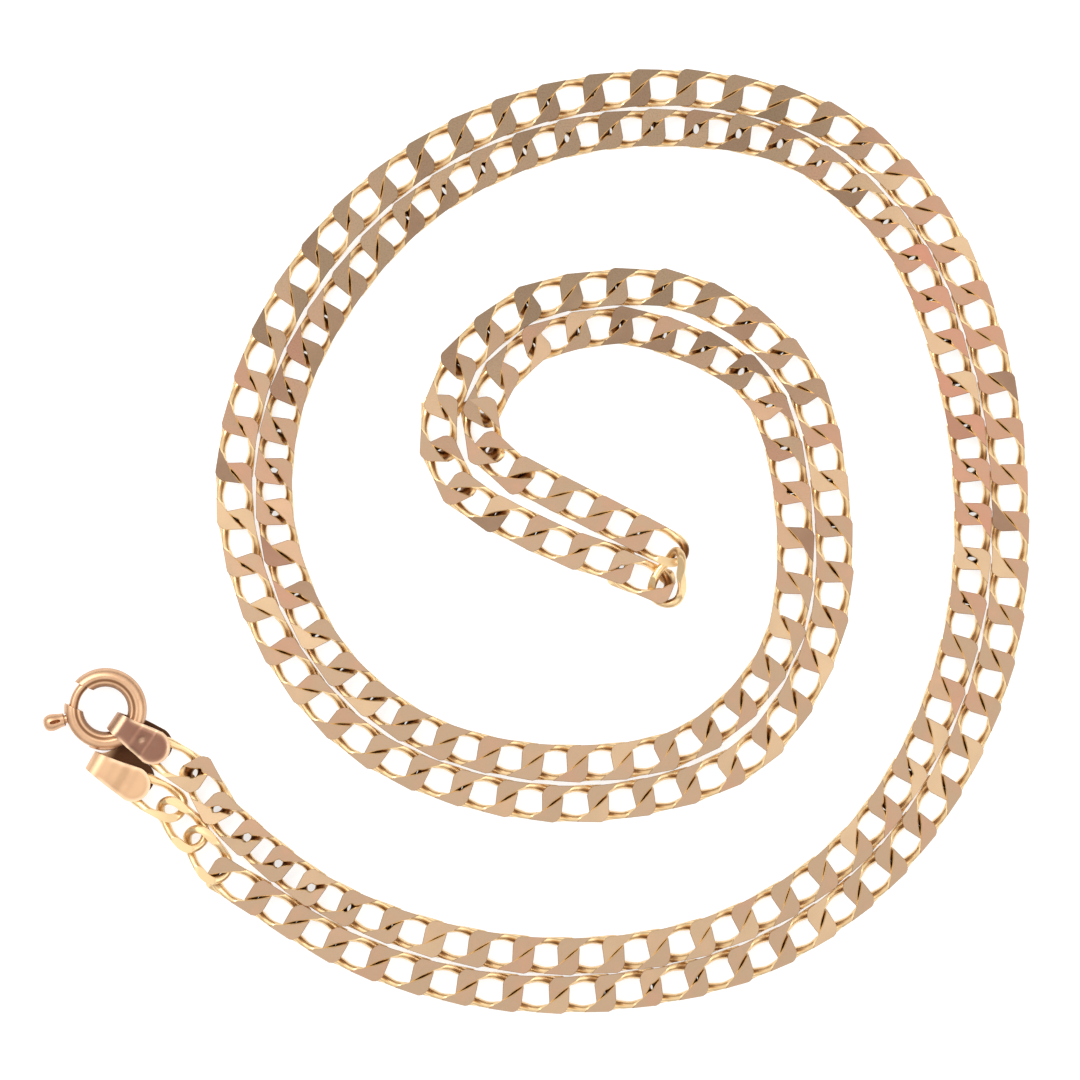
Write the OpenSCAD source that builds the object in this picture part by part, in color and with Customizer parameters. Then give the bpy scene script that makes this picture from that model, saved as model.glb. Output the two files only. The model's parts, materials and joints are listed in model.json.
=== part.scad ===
// Flat curb chain necklace with a spring ring clasp, laid doubled in a spiral.
// Millimetres. The chain lies on the plane z = 0, +Z is up, +X is right as seen from above.

/* [Chain] */

// Spacing of the outer strand's links along the chain
link_pitch = 3.18; // [2.9:0.01:3.5]
// How much closer the inner strand's links are pushed together
inner_slack = 0.15; // [0:0.01:0.25]
// Diameter of the wire that the links are bent from
wire_diameter = 0.55; // [0.4:0.01:0.6]
// Width of the chain across its filed sides
chain_width = 2.46; // [2.2:0.01:2.5]
// Thickness of the chain between its filed faces
chain_thickness = 1.1; // [0.95:0.01:1.2]
// Tilt of each link end about the chain's length
link_twist = 30; // [28:0.5:33]
// Depth filed off the outside of each side bar
side_filing = 0.03; // [0.02:0.005:0.06]
// Play between neighbouring links when the chain is pulled straight
link_play = 0.28; // [0.2:0.01:0.35]

/* [Spring ring] */

// Outer diameter of the clasp's ring
ring_diameter = 5.7; // [5.2:0.1:6.2]
// Outer diameter of the ring's tube
tube_diameter = 1.3; // [1.1:0.05:1.4]
// Wall thickness of the tube
tube_wall = 0.25; // [0.2:0.01:0.3]
// Angle of the opening's middle, from +X
opening_angle = 154.5; // [150:0.5:158]
// Width of the saw cut that makes the opening
opening_width = 1.65; // [1.4:0.05:1.75]
// Angle of the thumb knob with the clasp closed, from +X
knob_angle = 194; // [192:1:200]
// Angle that the bolt slides back when the clasp opens
bolt_travel = 45; // [38:1:46]
// Radial clearance between the bolt and the tube's bore
bolt_clearance = 0.08; // [0.05:0.01:0.1]
// Diameter of the knob's post
post_diameter = 0.6; // [0.5:0.05:0.7]
// Diameter of the thumb knob
knob_diameter = 1.15; // [0.9:0.05:1.3]
// How far the knob's tip stands out from the tube
knob_reach = 1.55; // [1.3:0.05:1.7]
// Gap between the tube and the underside of the knob
knob_gap = 0.45; // [0.3:0.05:0.6]

/* [End tabs] */

// Length of a tab from its fold to its round end
tab_length = 4.6; // [4.4:0.1:5]
// Width of a tab's round end
tab_width = 2.45; // [2.2:0.05:2.5]
// Width of a tab at its fold
tab_neck = 1.3; // [1.1:0.05:1.5]
// Thickness of the strip that a tab is folded from
strip_thickness = 0.2; // [0.15:0.01:0.24]
// Clearance between a tab and what it holds
tab_clearance = 0.1; // [0.08:0.01:0.12]
// Diameter of a tab's spot weld
weld_diameter = 0.5; // [0.4:0.05:0.55]
// Diameter of the hidden pin through a tab's end link
pin_diameter = 0.42; // [0.35:0.01:0.5]
// Material between the pin and the tab's round end
pin_land = 0.5; // [0.4:0.05:0.6]
// Room for the ring's tube to slide inside a tab's fold
fold_play = 0.55; // [0.4:0.05:0.6]
// Direction of the tab on the ring, from +X
ring_tab_angle = -34; // [-36:0.5:-32]
// Direction of the free end tab, from +X
end_tab_angle = -30; // [-32:0.5:-28]

/* [Hidden] */

$fn = 24;
eps = 0.1;

// Middle of everything laid out, which goes to the origin
laid_middle = [-0.034, -0.017];
// Where the clasp's ring lies
ring_center = [-29.7, -11.6];
// Where the free end tab's fold lies
end_fold = [-30.75, -15.07];

// The outer strand's route: link number, x, y
ROUTE_OUTER = [
  [3, -20.5, -23.8], [6, -12.4, -28.5], [9, -3.2, -31.0], [12, 6.4, -31.0],
  [15, 15.6, -28.6], [18, 23.4, -23.2], [21, 28.9, -15.6], [24, 32.1, -6.7],
  [27, 32.7, 3.0], [30, 31.4, 12.5], [33, 27.8, 21.5], [36, 21.2, 28.3],
  [39, 12.0, 31.1], [42, 2.4, 30.6], [45, -6.6, 27.2], [48, -14.0, 21.0],
  [51, -19.0, 12.6], [54, -20.8, 3.1], [57, -18.3, -6.2], [60, -12.3, -13.6],
  [63, -3.6, -17.4], [66, 5.9, -17.9], [69, 14.8, -14.7], [72, 19.8, -6.8],
  [75, 20.4, 2.6], [78, 17.9, 11.7], [81, 10.3, 17.1], [84, 0.87, 16.79],
  [86, -4.35, 13.35], [87, -5.9, 10.7], [88, -6.7, 7.8], [89, -6.0, 4.9],
  [90, -4.1, 2.7], [92, 1.4, -0.1], [93, 4.5, -1.2]
];

// The inner strand's route: link number, x, y
ROUTE_INNER = [
  [1, -22.7, -17.2], [2, -21.0, -19.5], [5, -14.3, -24.6], [8, -5.5, -27.8],
  [11, 3.8, -28.6], [14, 13.0, -26.8], [17, 21.0, -21.9], [20, 26.5, -14.5],
  [23, 29.5, -5.8], [26, 30.1, 3.4], [29, 28.7, 12.3], [32, 25.1, 20.8],
  [35, 18.2, 26.8], [38, 9.6, 28.5], [41, 0.7, 27.4], [44, -7.6, 23.3],
  [47, -13.7, 16.7], [50, -17.4, 9.0], [53, -17.8, 0.6], [56, -14.3, -7.7],
  [59, -7.7, -13.2], [62, 1.3, -15.3], [65, 10.5, -13.9], [68, 16.7, -7.5],
  [71, 17.8, 1.8], [74, 15.2, 10.6], [77, 7.4, 14.6], [79, 1.4, 14.1],
  [80, -1.2, 12.6], [81, -3.1, 10.2], [82, -3.7, 7.6], [83, -2.3, 5.4],
  [84, 0.3, 3.9], [86, 5.8, 1.2]
];

// Links that lie out of line: x, y, lift, turn, pitch, roll
ODD_OUTER = [
  [-24.45, -19.5, 0, -49, 0, 12],
  [-22.7, -21.6, 0.08, -58, 3, 7],
  [7.28, -2.5, 0, -22.5, 0, -4]
];
ODD_INNER = [
  [8.47, -0.16, 0.025, -26.5, -1, -2],
  [9.28, -2.53, 0.05, -109, 20, 34]
];

SPAN_STEPS = 8;
SIGHT = 1.2;

// Link geometry, worked out from the chain's sizes
side_offset = chain_width / 2 + side_filing - wire_diameter / 2;
end_radius = side_offset / cos(link_twist);
end_rise = end_radius * sin(link_twist);
link_half = (link_pitch + wire_diameter + link_play) / 2;
end_shift = link_half - end_radius;
flat_shift = link_half - side_offset;
bar_length = 2 * norm([end_shift, end_rise]) + 2 * eps;
bar_slope = atan(end_rise / end_shift);

// Clasp and tab geometry
ring_radius = (ring_diameter - tube_diameter) / 2;
bore_diameter = tube_diameter - 2 * tube_wall;
bolt_diameter = bore_diameter - 2 * bolt_clearance;
half_opening = asin(opening_width / 2 / ring_radius);
ring_height = strip_thickness + tab_clearance + tube_diameter / 2;
held_height = strip_thickness + tab_clearance + wire_diameter / 2;
fold_height = 2 * ring_height;
mouth_height = 2 * held_height;
bolt_entry = 2;
bolt_tail = 16;
seat_angle = -43;
tube_station = strip_thickness + fold_play + tube_diameter / 2;
weld_station = tube_station + (tube_diameter + weld_diameter) / 2 + 1.5 * tab_clearance;
pin_station = tab_length - pin_land - pin_diameter / 2;
held_station = pin_station - pin_diameter / 2 - tab_clearance - wire_diameter / 2;
slope_start = tube_station + tube_diameter / 2 - 1.5 * tab_clearance;
slope_end = held_station - wire_diameter / 2;

function along(angle) = [cos(angle), sin(angle)];

ring_fold = ring_center + ring_radius * along(seat_angle) - tube_station * along(ring_tab_angle);

// The route through its points: a Catmull-Rom spline, measured by length
function spot(route, i) =
  i < 0 ? 2 * spot(route, 0) - spot(route, 1)
  : i > len(route) - 1 ? 2 * spot(route, i - 1) - spot(route, i - 2)
  : [route[i][1], route[i][2]];

function between(a, b, c, d, u) =
  0.5 * (2 * b + (c - a) * u + (2 * a - 5 * b + 4 * c - d) * u * u
  + (3 * b - a - 3 * c + d) * u * u * u);

function drawn(route) = concat(
  [for (i = [0:len(route) - 2]) for (j = [0:SPAN_STEPS - 1])
    between(spot(route, i - 1), spot(route, i), spot(route, i + 1), spot(route, i + 2),
      j / SPAN_STEPS)],
  [spot(route, len(route) - 1)]);

function lengths(p) =
  [for (i = 0, s = 0; i < len(p); s = s + norm(p[min(i + 1, len(p) - 1)] - p[i]), i = i + 1) s];

function place_at(p, s, at) = [
  lookup(at, [for (i = [0:len(p) - 1]) [s[i], p[i][0]]]),
  lookup(at, [for (i = [0:len(p) - 1]) [s[i], p[i][1]]])
];

function heading(p, s, at) =
  let (step = place_at(p, s, at + SIGHT) - place_at(p, s, at - SIGHT)) atan2(step[1], step[0]);

// Each link's x, y and direction along a route, for a spacing
function links_along(route, spacing) =
  let (
    p = drawn(route),
    s = lengths(p),
    total = s[len(s) - 1],
    first = route[0][0],
    last = route[len(route) - 1][0],
    gaps = round(total / spacing),
    stations = [for (i = [0:len(route) - 1]) [route[i][0], s[i * SPAN_STEPS]]]
  )
  [for (k = [0:gaps])
    let (at = lookup(first + k * (last - first) / gaps, stations))
    concat(place_at(p, s, at), heading(p, s, at))];

// One end of a link: a half ring tilted about the chain's length
module link_end(side) {
  translate([side * end_shift, 0, 0]) rotate([-side * link_twist, 0, 0])
    rotate([0, 0, -side * 90]) rotate_extrude(angle = 180) translate([end_radius, 0])
      circle(d = wire_diameter);
}

// One side bar of a link, from the high end to the low one
module side_bar(side) {
  translate([0, side * side_offset, 0]) rotate([0, 90 + side * bar_slope, 0])
    cylinder(d = wire_diameter, h = bar_length, center = true);
}

// The filed top, bottom and sides of the chain
module filed() {
  cube([2 * link_half + 2 * wire_diameter, chain_width, chain_thickness], center = true);
}

module link() {
  intersection() {
    union() {
      link_end(-1);
      link_end(1);
      side_bar(-1);
      side_bar(1);
    }
    filed();
  }
}

// A side bar of an end link, from its flat end to its tilted one
module end_bar(side, low) {
  run = end_shift + flat_shift;
  drop = low + side * end_rise;
  translate([(end_shift - flat_shift) / 2, side * side_offset, (low - side * end_rise) / 2])
    rotate([0, 90 + atan(drop / run), 0])
      cylinder(d = wire_diameter, h = norm([run, drop]) + eps, center = true);
}

// The link in a tab's mouth: its held end lies flat between the tab's layers
module end_link() {
  low = held_height - chain_thickness / 2;
  intersection() {
    union() {
      translate([-flat_shift, 0, low]) rotate([0, 0, 90]) rotate_extrude(angle = 180)
        translate([side_offset, 0]) circle(d = wire_diameter);
      link_end(1);
      end_bar(-1, low);
      end_bar(1, low);
    }
    filed();
  }
}

// A link set down rolled about its length, with a lift where it also leans
module odd_link(pose) {
  height = chain_width / 2 * sin(abs(pose[5])) + chain_thickness / 2 * cos(pose[5]) + pose[2];
  translate([pose[0], pose[1], height])
    rotate([0, 0, pose[3]]) rotate([0, pose[4], 0]) rotate([pose[5], 0, 0]) link();
}

module laid() {
  translate([-laid_middle[0], -laid_middle[1], 0]) children();
}

module strand(route, spacing) {
  for (pose = links_along(route, spacing))
    translate([pose[0], pose[1], chain_thickness / 2]) rotate([0, 0, pose[2]]) link();
}

module held_link(fold, angle) {
  at = fold + (held_station + link_half) * along(angle);
  translate([at[0], at[1], chain_thickness / 2]) rotate([0, 0, angle]) end_link();
}

module chain_outer() {
  color([0.83, 0.6, 0.42]) laid() {
    held_link(end_fold, end_tab_angle);
    for (pose = ODD_OUTER) odd_link(pose);
    strand(ROUTE_OUTER, link_pitch);
  }
}

module chain_inner() {
  color([0.88, 0.68, 0.45]) laid() {
    held_link(ring_fold, ring_tab_angle);
    for (pose = ODD_INNER) odd_link(pose);
    strand(ROUTE_INNER, link_pitch - inner_slack);
  }
}

module at_ring() {
  laid() translate([ring_center[0], ring_center[1], ring_height]) children();
}

// The tube, sawn open for the hook-in side and slotted for the knob's post
module spring_ring() {
  slot = post_diameter + 2 * bolt_clearance;
  margin = asin(slot / 2 / (ring_diameter / 2));
  color([0.85, 0.62, 0.45]) at_ring() difference() {
    rotate([0, 0, opening_angle]) rotate_extrude() translate([ring_radius, 0]) difference() {
      circle(d = tube_diameter);
      circle(d = bore_diameter);
    }
    rotate([0, 0, opening_angle]) translate([0, -opening_width / 2, -tube_diameter])
      cube([ring_diameter, opening_width, 2 * tube_diameter]);
    rotate([0, 0, knob_angle - margin]) rotate_extrude(angle = bolt_travel + 2 * margin)
      translate([ring_radius, -slot / 2]) square([tube_diameter, slot]);
  }
}

// The sliding bolt with the thumb knob on its post
module trigger_bolt() {
  tip = opening_angle - half_opening - bolt_entry;
  reach = ring_diameter / 2 + knob_reach;
  neck = ring_diameter / 2 + knob_gap;
  edge = knob_diameter / 5;
  color([0.8, 0.56, 0.4]) at_ring() {
    rotate([0, 0, tip]) rotate_extrude(angle = knob_angle + bolt_tail - tip)
      translate([ring_radius, 0]) circle(d = bolt_diameter);
    rotate([0, 0, knob_angle]) rotate([0, 90, 0])
      translate([0, 0, ring_radius]) cylinder(d = post_diameter, h = neck - ring_radius + eps);
    rotate([0, 0, knob_angle]) rotate([0, 90, 0]) rotate_extrude() polygon([
      [0, neck], [knob_diameter / 2 - edge, neck], [knob_diameter / 2, neck + edge],
      [knob_diameter / 2, reach - edge], [knob_diameter / 2 - edge, reach], [0, reach]
    ]);
  }
}

// A tab's side outline, pulled in by a margin on all but its open end
module tab_side(margin) {
  fold = fold_height / 2;
  translate([fold, fold]) circle(r = fold - margin);
  polygon([
    [fold, margin], [tab_length + eps, margin], [tab_length + eps, mouth_height - margin],
    [slope_end, mouth_height - margin], [slope_start, fold_height - margin],
    [fold, fold_height - margin]
  ]);
}

// A tab's outline from above
module tab_top() {
  round_at = tab_length - tab_width / 2;
  translate([round_at, 0]) circle(d = tab_width);
  polygon([
    [0, -tab_neck / 2], [round_at, -tab_width / 2], [round_at, tab_width / 2],
    [0, tab_neck / 2]
  ]);
}

// A strip folded over the ring's tube, spot welded behind it and pinned through the end link
module tab(fold, angle) {
  weld_height = fold_height - strip_thickness / 2
    - (fold_height - mouth_height) * (weld_station - slope_start) / (slope_end - slope_start);
  laid() translate([fold[0], fold[1], 0]) rotate([0, 0, angle]) {
    intersection() {
      linear_extrude(fold_height) tab_top();
      rotate([90, 0, 0]) linear_extrude(2 * tab_width, center = true) difference() {
        tab_side(0);
        tab_side(strip_thickness);
      }
    }
    translate([weld_station, 0, strip_thickness / 2])
      cylinder(d = weld_diameter, h = weld_height - strip_thickness / 2);
    translate([pin_station, 0, strip_thickness / 2])
      cylinder(d = pin_diameter, h = mouth_height - strip_thickness);
  }
}

module ring_tab() {
  color([0.7, 0.45, 0.36]) tab(ring_fold, ring_tab_angle);
}

module end_tab() {
  color([0.9, 0.7, 0.52]) tab(end_fold, end_tab_angle);
}

chain_outer();
chain_inner();
spring_ring();
trigger_bolt();
ring_tab();
end_tab();
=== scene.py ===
import json
import math
from types import SimpleNamespace

import bmesh
import bpy
import numpy as np
from mathutils import Matrix, Vector


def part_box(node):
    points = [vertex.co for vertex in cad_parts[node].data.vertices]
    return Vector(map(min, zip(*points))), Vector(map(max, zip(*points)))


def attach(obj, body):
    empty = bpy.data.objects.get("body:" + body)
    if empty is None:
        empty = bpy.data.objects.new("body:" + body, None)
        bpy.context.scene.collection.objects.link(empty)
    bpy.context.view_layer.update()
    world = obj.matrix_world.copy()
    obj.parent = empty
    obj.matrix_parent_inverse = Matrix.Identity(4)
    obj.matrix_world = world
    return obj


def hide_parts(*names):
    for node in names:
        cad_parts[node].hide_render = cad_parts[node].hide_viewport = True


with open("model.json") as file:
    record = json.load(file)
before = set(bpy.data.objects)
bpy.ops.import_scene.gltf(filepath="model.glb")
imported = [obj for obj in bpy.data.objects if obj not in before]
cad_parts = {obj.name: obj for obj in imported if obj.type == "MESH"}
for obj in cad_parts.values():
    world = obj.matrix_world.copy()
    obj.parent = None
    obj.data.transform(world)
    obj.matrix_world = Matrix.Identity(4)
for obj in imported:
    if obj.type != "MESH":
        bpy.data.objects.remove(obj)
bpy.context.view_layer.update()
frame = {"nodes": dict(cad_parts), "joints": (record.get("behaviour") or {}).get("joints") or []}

bl_info = {
    "name": "Curb chain necklace",
    "version": (1, 0, 0),
    "blender": (4, 5, 0),
    "location": "3D View > Sidebar > Necklace",
    "description": "Dresses a laid-out curb chain necklace and its spring ring clasp",
    "category": "Object",
}

MM = 0.001
FULL_TURN = 2 * math.pi
RING_AT = next(j for j in frame["joints"] if j["name"] == "bolt_slide")["pos_m"]


# Sizes and colours that a user would change


class ChainSettings(bpy.types.PropertyGroup):
    """Sizes of one link as it lies flat."""

    wire: bpy.props.FloatProperty(
        name="Wire", description="Diameter of the wire", default=0.64 * MM,
        min=0.3 * MM, max=0.8 * MM, unit="LENGTH")
    width: bpy.props.FloatProperty(
        name="Width", description="Width across the chain's filed sides", default=2.46 * MM,
        min=2 * MM, max=3 * MM, unit="LENGTH")
    thickness: bpy.props.FloatProperty(
        name="Thickness", description="Thickness between the filed faces", default=1.1 * MM,
        min=0.8 * MM, max=1.3 * MM, unit="LENGTH")
    reach: bpy.props.FloatProperty(
        name="Reach", description="Middle of a link to the middle of its end wire",
        default=2.005 * MM, min=1.8 * MM, max=2.3 * MM, unit="LENGTH")
    spread: bpy.props.FloatProperty(
        name="Spread", description="How far the filed faces stand past the chain's width",
        default=0.05 * MM, min=0, max=0.1 * MM, unit="LENGTH")
    twist: bpy.props.FloatProperty(
        name="Twist", description="Tilt of each link end", default=math.radians(30),
        subtype="ANGLE")
    bulge: bpy.props.FloatProperty(
        name="Bulge", description="How far the side wires bow out before they are filed flat",
        default=0.16 * MM, min=0, max=0.25 * MM, unit="LENGTH")
    slit: bpy.props.FloatProperty(
        name="Slit", description="Half the gap between two filed faces", default=0.06 * MM,
        min=0.02 * MM, max=0.3 * MM, unit="LENGTH")
    outer_pitch: bpy.props.FloatProperty(
        name="Outer pitch", description="Link spacing of the outer strand", default=3.18 * MM,
        min=2.8 * MM, max=3.4 * MM, unit="LENGTH")
    inner_pitch: bpy.props.FloatProperty(
        name="Inner pitch", description="Link spacing of the inner strand", default=3.03 * MM,
        min=2.8 * MM, max=3.4 * MM, unit="LENGTH")


class ClaspSettings(bpy.types.PropertyGroup):
    """Sizes of the spring ring and its bolt."""

    ring: bpy.props.FloatProperty(
        name="Ring", description="Outer diameter of the ring", default=5.7 * MM,
        min=5 * MM, max=6.5 * MM, unit="LENGTH")
    tube: bpy.props.FloatProperty(
        name="Tube", description="Outer diameter of the tube", default=1.3 * MM,
        min=1 * MM, max=1.5 * MM, unit="LENGTH")
    bore: bpy.props.FloatProperty(
        name="Bore", description="Inner diameter of the tube", default=0.8 * MM,
        min=0.5 * MM, max=1 * MM, unit="LENGTH")
    rod: bpy.props.FloatProperty(
        name="Rod", description="Diameter of the sliding bolt", default=0.64 * MM,
        min=0.4 * MM, max=0.8 * MM, unit="LENGTH")
    opening: bpy.props.FloatProperty(
        name="Opening", description="Width of the saw cut", default=1.65 * MM,
        min=1.2 * MM, max=1.9 * MM, unit="LENGTH")
    opening_angle: bpy.props.FloatProperty(
        name="Opening angle", description="Direction of the opening",
        default=math.radians(154.5), subtype="ANGLE")
    knob_angle: bpy.props.FloatProperty(
        name="Knob angle", description="Direction of the thumb knob",
        default=math.radians(194), subtype="ANGLE")
    travel: bpy.props.FloatProperty(
        name="Travel", description="Angle that the bolt slides", default=math.radians(45),
        subtype="ANGLE")


class TabSettings(bpy.types.PropertyGroup):
    """Sizes of a folded end tab, with its stations measured from the fold."""

    length: bpy.props.FloatProperty(
        name="Length", description="From the fold to the rounded end", default=4.6 * MM,
        min=3 * MM, max=6 * MM, unit="LENGTH")
    wide: bpy.props.FloatProperty(
        name="Width", description="Width at the rounded end", default=2.45 * MM,
        min=2 * MM, max=3 * MM, unit="LENGTH")
    neck: bpy.props.FloatProperty(
        name="Neck", description="Width at the fold", default=1.3 * MM,
        min=1 * MM, max=2 * MM, unit="LENGTH")
    strip: bpy.props.FloatProperty(
        name="Strip", description="Thickness of the strip", default=0.2 * MM,
        min=0.1 * MM, max=0.3 * MM, unit="LENGTH")
    fold: bpy.props.FloatProperty(
        name="Fold", description="Height over the fold", default=1.9 * MM,
        min=1.5 * MM, max=2.2 * MM, unit="LENGTH")
    mouth: bpy.props.FloatProperty(
        name="Mouth", description="Height at the rounded end", default=1.15 * MM,
        min=1 * MM, max=1.5 * MM, unit="LENGTH")
    bend_at: bpy.props.FloatProperty(
        name="Bend", description="Where the upper strip turns down", default=1.9 * MM,
        unit="LENGTH")
    mouth_at: bpy.props.FloatProperty(
        name="Mouth start", description="Where the upper strip levels out", default=3.03 * MM,
        unit="LENGTH")
    weld_at: bpy.props.FloatProperty(
        name="Weld", description="Where the weld mark is", default=2.45 * MM, unit="LENGTH")
    pin_at: bpy.props.FloatProperty(
        name="Pin", description="Where the hidden pin is", default=3.89 * MM, unit="LENGTH")


class GoldSettings(bpy.types.PropertyGroup):
    """Colours of the gold."""

    # The filed faces are all one gold: tan, rose, taupe and pale are painted reflections that
    # differ from face to face
    tan: bpy.props.FloatVectorProperty(
        name="Tan", description="Most filed faces", default=(0.54, 0.375, 0.245), subtype="COLOR")
    rose: bpy.props.FloatVectorProperty(
        name="Rose", description="Rosy filed faces", default=(0.66, 0.30, 0.205), subtype="COLOR")
    taupe: bpy.props.FloatVectorProperty(
        name="Taupe", description="Dark filed faces", default=(0.24, 0.165, 0.105), subtype="COLOR")
    pale: bpy.props.FloatVectorProperty(
        name="Pale", description="Pale filed faces", default=(0.77, 0.545, 0.335), subtype="COLOR")
    wire: bpy.props.FloatVectorProperty(
        name="Wire", description="Round side wires", default=(0.91, 0.665, 0.37), subtype="COLOR")
    # Painted shade on the wires where the links cross
    crease_shade: bpy.props.FloatVectorProperty(
        name="Crease", description="Where the links cross", default=(0.19, 0.075, 0.022),
        subtype="COLOR")
    clasp: bpy.props.FloatVectorProperty(
        name="Clasp", description="Ring and bolt", default=(0.73, 0.46, 0.285), subtype="COLOR")
    # The tabs are one gold: the ring tab's colour is painted darker, as painted shade, and the end
    # tab's paler, as a painted highlight
    ring_tab: bpy.props.FloatVectorProperty(
        name="Ring tab", description="Tab on the ring", default=(0.36, 0.19, 0.13), subtype="COLOR")
    end_tab: bpy.props.FloatVectorProperty(
        name="End tab", description="Free end tab", default=(0.71, 0.455, 0.265), subtype="COLOR")


def sizes_of(group):
    """A group's lengths in millimetres and its angles in radians."""
    sizes = {}
    for name, setting in group.bl_rna.properties.items():
        if setting.type == "FLOAT":
            value = getattr(group, name)
            sizes[name] = round(value / MM, 6) if setting.unit == "LENGTH" else value
    return SimpleNamespace(**sizes)


# Materials. The scales of noises are in waves a metre.

SPECKS, CLOUDS, POLISH_CLOUDS = 9000.0, 700.0, 900.0
SPECK_COLOUR = (0.09, 0.06, 0.035)
RIM_COLOUR = (0.93, 0.64, 0.42)
SHADE_COLOUR = (0.10, 0.042, 0.02)
# Colour of the painted shade in rings along the clasp's tube
TUBE_SHADE_COLOUR = (0.16, 0.06, 0.02)
FILE_DEPTH, SCRATCH_DEPTH = 0.000006, 0.0000025  # metres
FACE_LEAN = 0.10  # how far a filed face's shading leans at most


class Number:
    """A number in a material, on which sums add Math nodes."""

    def __init__(self, finish, socket):
        self.finish = finish
        self.socket = socket

    def _math(self, operation, *values):
        node = self.finish.add(
            "ShaderNodeMath", {"operation": operation}, dict(enumerate(values)))
        return Number(self.finish, node.outputs[0])

    def __add__(self, other):
        return self._math("ADD", self, other)

    __radd__ = __add__

    def __sub__(self, other):
        return self._math("SUBTRACT", self, other)

    def __rsub__(self, other):
        return self._math("SUBTRACT", other, self)

    def __mul__(self, other):
        return self._math("MULTIPLY", self, other)

    __rmul__ = __mul__

    def whole(self):
        return self._math("ROUND", self)

    def above(self, low, high):
        """0 at low and 1 at high, smooth between; high may be the smaller one."""
        node = self.finish.add(
            "ShaderNodeMapRange", {"interpolation_type": "SMOOTHSTEP"}, {0: self, 1: low, 2: high})
        return Number(self.finish, node.outputs[0])


class Finish:
    """One metal finish, made of nodes around a single shader."""

    def __init__(self, name, **constants):
        self.material = bpy.data.materials.new(name)
        self.material.use_nodes = True
        self.tree = self.material.node_tree
        self.shader = self.tree.nodes["Principled BSDF"]
        self.set(**constants)

    def add(self, kind, settings=None, inputs=None):
        node = self.tree.nodes.new(kind)
        for key, value in (settings or {}).items():
            setattr(node, key, value)
        for key, value in (inputs or {}).items():
            self.join(value, node.inputs[key])
        return node

    def join(self, value, socket):
        if isinstance(value, Number):
            value = value.socket
        if isinstance(value, bpy.types.NodeSocket):
            self.tree.links.new(value, socket)
        elif socket.type == "RGBA":
            socket.default_value = (*value, 1)
        else:
            socket.default_value = value

    def set(self, **values):
        for name, value in values.items():
            self.join(value, self.shader.inputs[name.replace("_", " ")])

    def number(self, socket):
        return Number(self, socket)

    def attribute(self, name):
        return self.number(self.add("ShaderNodeAttribute", {"attribute_name": name}).outputs["Fac"])

    def place(self):
        return self.add("ShaderNodeTexCoord").outputs["Object"]

    def noise(self, scale, detail=2.0, vector=None):
        node = self.add("ShaderNodeTexNoise", {}, {
            "Vector": vector or self.place(), "Scale": scale, "Detail": detail})
        return self.number(node.outputs["Fac"])

    def grain(self, across, along, turn):
        """Fine marks: a noise drawn out along one direction."""
        scaled = self.add("ShaderNodeMapping", {}, {
            "Vector": self.place(), "Rotation": (0, 0, turn), "Scale": (along, across, across)})
        return self.noise(1.0, 3.0, scaled.outputs[0])

    def vector(self, operation, *values, **named):
        inputs = {**dict(enumerate(values)), **named}
        return self.add("ShaderNodeVectorMath", {"operation": operation}, inputs).outputs

    def mix(self, factor, first, second):
        node = self.add("ShaderNodeMix", {"data_type": "RGBA", "clamp_factor": True},
                        {0: factor, 6: first, 7: second})
        return node.outputs[2]

    def relief(self, height, depth, **named):
        """Bump from a height from 0 to 1, depth in metres."""
        inputs = {"Height": height, "Distance": depth, "Strength": 1.0, **named}
        return self.add("ShaderNodeBump", {}, inputs).outputs["Normal"]


def face_tone(f, gold, chance, seed, specks):
    """The colour of a filed face, a painted reflection, from its own chances and its place on the
    coil.
    """
    first, second, third, fourth = chance
    spot = f.add("ShaderNodeSeparateXYZ", {}, {"Vector": f.place()})
    x, y = (f.number(spot.outputs[axis]) * (1 / MM) for axis in "XY")  # millimetres
    clouds = f.noise(CLOUDS)
    inner = seed.above(0.95, 1.0)  # 1 on the inner strand

    # Painted reflections by place: the arc farthest up is dark, the sides of the coil are rosy,
    # more so in the upper half
    far = (y + (second - 0.5) * 14.0).above(1.0, 24.0) * (x * x).above(820.0, 240.0)
    sides = (x * x - y * y * 0.4 + (third - 0.5) * 500.0).above(-150.0, 600.0)
    upper = (y + (first - 0.5) * 10.0).above(-12.0, 6.0)
    rosy = (sides * (inner * 0.25 + 0.42) * (upper * 0.9 + 0.1)
            + first.above(0.6, 0.95) * (far * 0.5 + 0.2))
    colour = f.mix(rosy + (clouds - 0.5) * 0.9, gold.tan, gold.rose)
    # Pale faces, a painted highlight, most of them on the sides
    pale = third.above(0.74, 0.9) * (sides * 0.5 + 0.4) + (clouds - 0.55) * 0.5
    colour = f.mix(pale, colour, gold.pale)
    # Painted dark reflection over the arc farthest up, weaker on the inner strand
    dark = far * (second * 0.4 + 0.58) * (inner * -0.2 + 1.0) + 0.04
    colour = f.mix(dark, colour, gold.taupe)
    # A few faces in the upper part get a painted dark reflection at random
    odd = fourth.above(0.86, 0.92) * y.above(-10.0, 2.0) * (clouds * 0.5 + 0.45)
    colour = f.mix(odd, colour, gold.taupe)
    return f.mix((specks - 0.45) * (far * 0.9 + 0.15), colour, SPECK_COLOUR), far


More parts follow.
